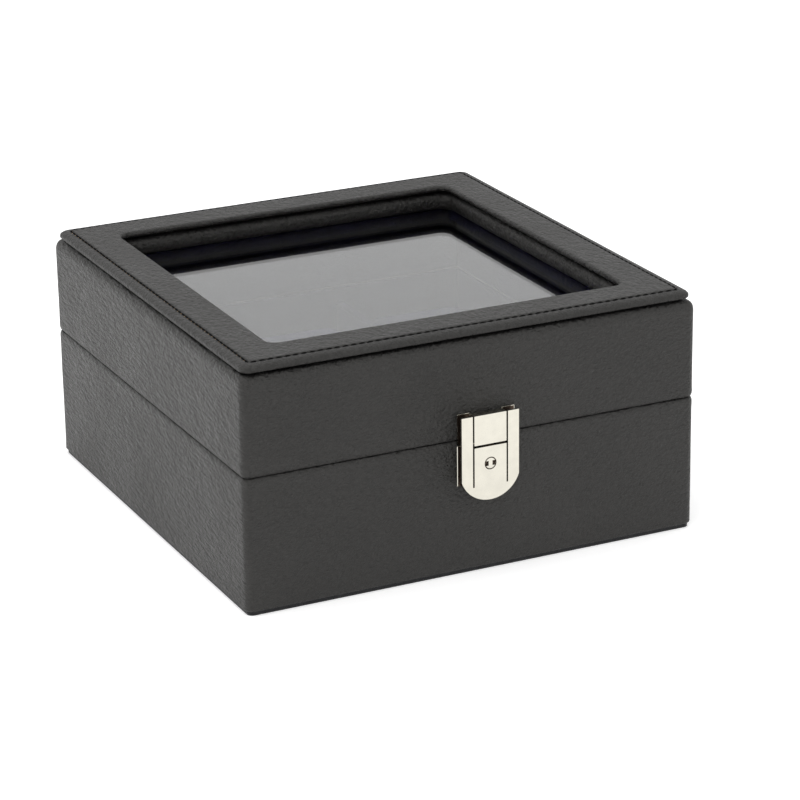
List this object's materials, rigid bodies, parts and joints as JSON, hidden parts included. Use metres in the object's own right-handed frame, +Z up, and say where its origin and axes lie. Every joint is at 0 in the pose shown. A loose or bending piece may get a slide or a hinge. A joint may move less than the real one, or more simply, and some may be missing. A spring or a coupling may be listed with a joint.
{
  "type": "watch box",
  "caption": "Leather-covered watch box with a glass window in its hinged lid, a press lock at the front and lift-out velvet cushions in a divided base.",
  "frame": {"origin": "middle of the underside, on the surface the box rests on", "axes": "+Z up, +X to the right seen from the front, -Y out of the front face, where the lock is"},
  "size_m": [0.2, 0.2123, 0.1027],
  "materials": {
    "leather": "fine grain, satin",
    "board": "raw fibreboard",
    "velvet": "short pile velvet",
    "felt": "felt",
    "metal": "polished nickel",
    "glass": "clear float glass",
    "cushion": "velvet over soft foam"
  },
  "bodies": {
    "base": {"base_front_board": "board", "base_back_board": "board", "base_left_board": "board", "base_right_board": "board", "base_floor_board": "board", "base_leather": "leather", "underside_pad": "felt", "base_wall_lining": "velvet", "base_floor_lining": "velvet", "divider_long": "velvet", "divider_cross_left": "velvet", "divider_cross_right": "velvet", "lock_back_plate": "metal", "lock_rails": "metal", "lock_springs": "metal", "lock_rivets": "metal", "hinge_base_leaf_left": "metal", "hinge_base_leaf_right": "metal", "hinge_pins": "metal", "hinge_base_screws": "metal"},
    "lid": {"lid_front_board": "board", "lid_back_board": "board", "lid_left_board": "board", "lid_right_board": "board", "lid_leather": "leather", "top_frame_board": "board", "top_frame_leather": "leather", "top_frame_riser": "felt", "window_bolster": "leather", "window_glass": "glass", "glass_bead_front": "velvet", "glass_bead_back": "velvet", "glass_bead_left": "velvet", "glass_bead_right": "velvet", "lid_lining": "velvet", "hasp_plate": "metal", "hasp_block": "metal", "hasp_hook": "metal", "hasp_rivets": "metal", "hinge_lid_leaf_left": "metal", "hinge_lid_leaf_right": "metal", "hinge_lid_screws": "metal"},
    "lock_slider": {"lock_slider": "metal"},
    "lock_core": {"lock_core": "metal"},
    "cushion_front_left": {"cushion_front_left": "cushion"},
    "cushion_front_middle": {"cushion_front_middle": "cushion"},
    "cushion_front_right": {"cushion_front_right": "cushion"},
    "cushion_back_left": {"cushion_back_left": "cushion"},
    "cushion_back_middle": {"cushion_back_middle": "cushion"},
    "cushion_back_right": {"cushion_back_right": "cushion"}
  },
  "joints": [
    {"name": "lid_hinge", "type": "hinge", "parent": "base", "child": "lid", "pos_m": [0, 0.104, 0.0571], "axis": [-1, 0, 0], "range_deg": [0, 95]},
    {"name": "lock_slide", "type": "slide", "parent": "base", "child": "lock_slider", "axis": [0, 0, -1], "range_m": [0, 0.0025], "stiffness_N_per_m": 400, "springref_m": -0.003, "deforming": ["lock_springs"]},
    {"name": "key_turn", "type": "hinge", "parent": "lock_slider", "child": "lock_core", "pos_m": [0.00375, -0.1066, 0.0472], "axis": [0, 1, 0], "range_deg": [0, 90]},
    {"name": "lift_front_left", "type": "slide", "parent": "base", "child": "cushion_front_left", "axis": [0, 0, 1], "range_m": [0, 0.03]},
    {"name": "lift_front_middle", "type": "slide", "parent": "base", "child": "cushion_front_middle", "axis": [0, 0, 1], "range_m": [0, 0.03]},
    {"name": "lift_front_right", "type": "slide", "parent": "base", "child": "cushion_front_right", "axis": [0, 0, 1], "range_m": [0, 0.03]},
    {"name": "lift_back_left", "type": "slide", "parent": "base", "child": "cushion_back_left", "axis": [0, 0, 1], "range_m": [0, 0.03]},
    {"name": "lift_back_middle", "type": "slide", "parent": "base", "child": "cushion_back_middle", "axis": [0, 0, 1], "range_m": [0, 0.03]},
    {"name": "lift_back_right", "type": "slide", "parent": "base", "child": "cushion_back_right", "axis": [0, 0, 1], "range_m": [0, 0.03]}
  ]
}
